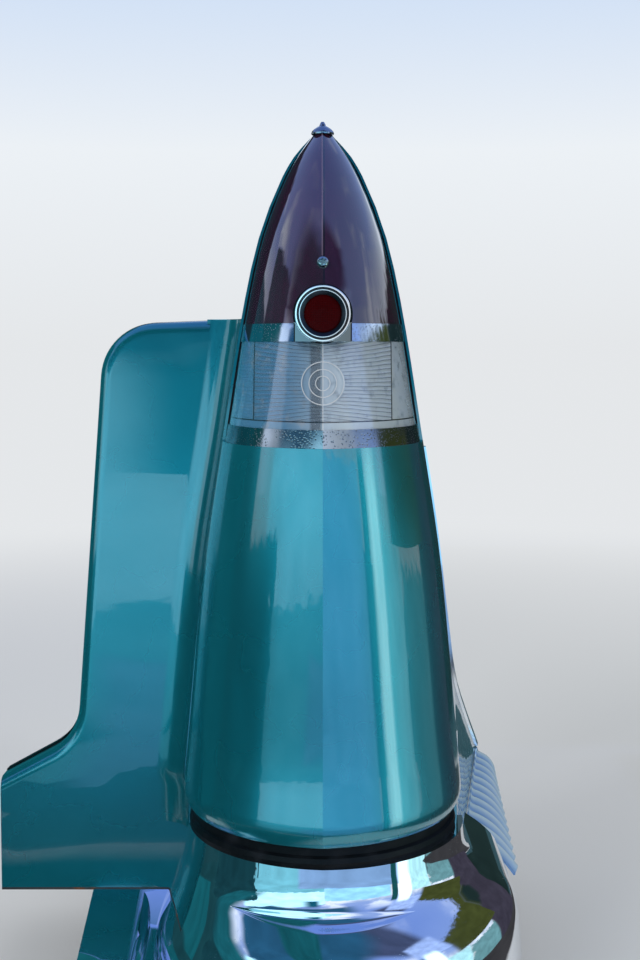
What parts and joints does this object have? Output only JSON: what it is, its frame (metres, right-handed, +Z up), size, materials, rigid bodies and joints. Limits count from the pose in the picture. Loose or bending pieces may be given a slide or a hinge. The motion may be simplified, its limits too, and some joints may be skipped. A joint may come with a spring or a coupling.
{
  "type": "car rear fender corner with tail lamp",
  "caption": "Right rear corner of a mid-1950s car: tapering fender tower, tail lamp with red and clear lenses, chromed bumper end and fluted guard, on a bolted splice plate.",
  "frame": {"origin": "centre of the four splice bolt holes, on the plate's front face", "axes": "+Y to the car's front, out of the splice plate; +Z up; +X to the car's right side"},
  "size_m": [0.4551, 0.5549, 0.742],
  "materials": {
    "body_paint": "gloss metallic teal",
    "structure": "satin black",
    "chrome": "polished, lightly marked",
    "guard_chrome": "worn, pale",
    "pitted_chrome": "pitted",
    "rubber": "aged",
    "clear_lens": "clear, fluted",
    "red_lens": "deep red, glossy",
    "red_reflector": "deep red, prismatic",
    "zinc_pan": "plated",
    "bowl": "bright",
    "socket": "dull",
    "bulb": "clear"
  },
  "bodies": {
    "root": {"fender_skin": "body_paint", "filler_panel": "body_paint", "splice_bulkhead": "structure", "trunk_floor": "structure", "deck_gutter": "body_paint", "trunk_weatherstrip": "rubber", "edge_moulding": "chrome", "stone_guard": "guard_chrome", "lamp_lower_band": "pitted_chrome", "clear_lens": "clear_lens", "lamp_upper_band": "pitted_chrome", "red_lens": "red_lens", "lens_gasket": "rubber", "lamp_pan": "zinc_pan", "lamp_divider": "zinc_pan", "finial": "pitted_chrome", "lens_screw": "chrome", "reflector_bezel": "chrome", "red_reflector": "red_reflector", "base_gasket": "rubber", "bumper_end": "chrome", "bumper_bracket": "structure", "backup_bowl": "bowl", "backup_socket": "socket", "backup_bulb": "bulb", "tail_bowl": "bowl", "tail_socket": "socket", "tail_bulb": "bulb"}
  },
  "joints": []
}
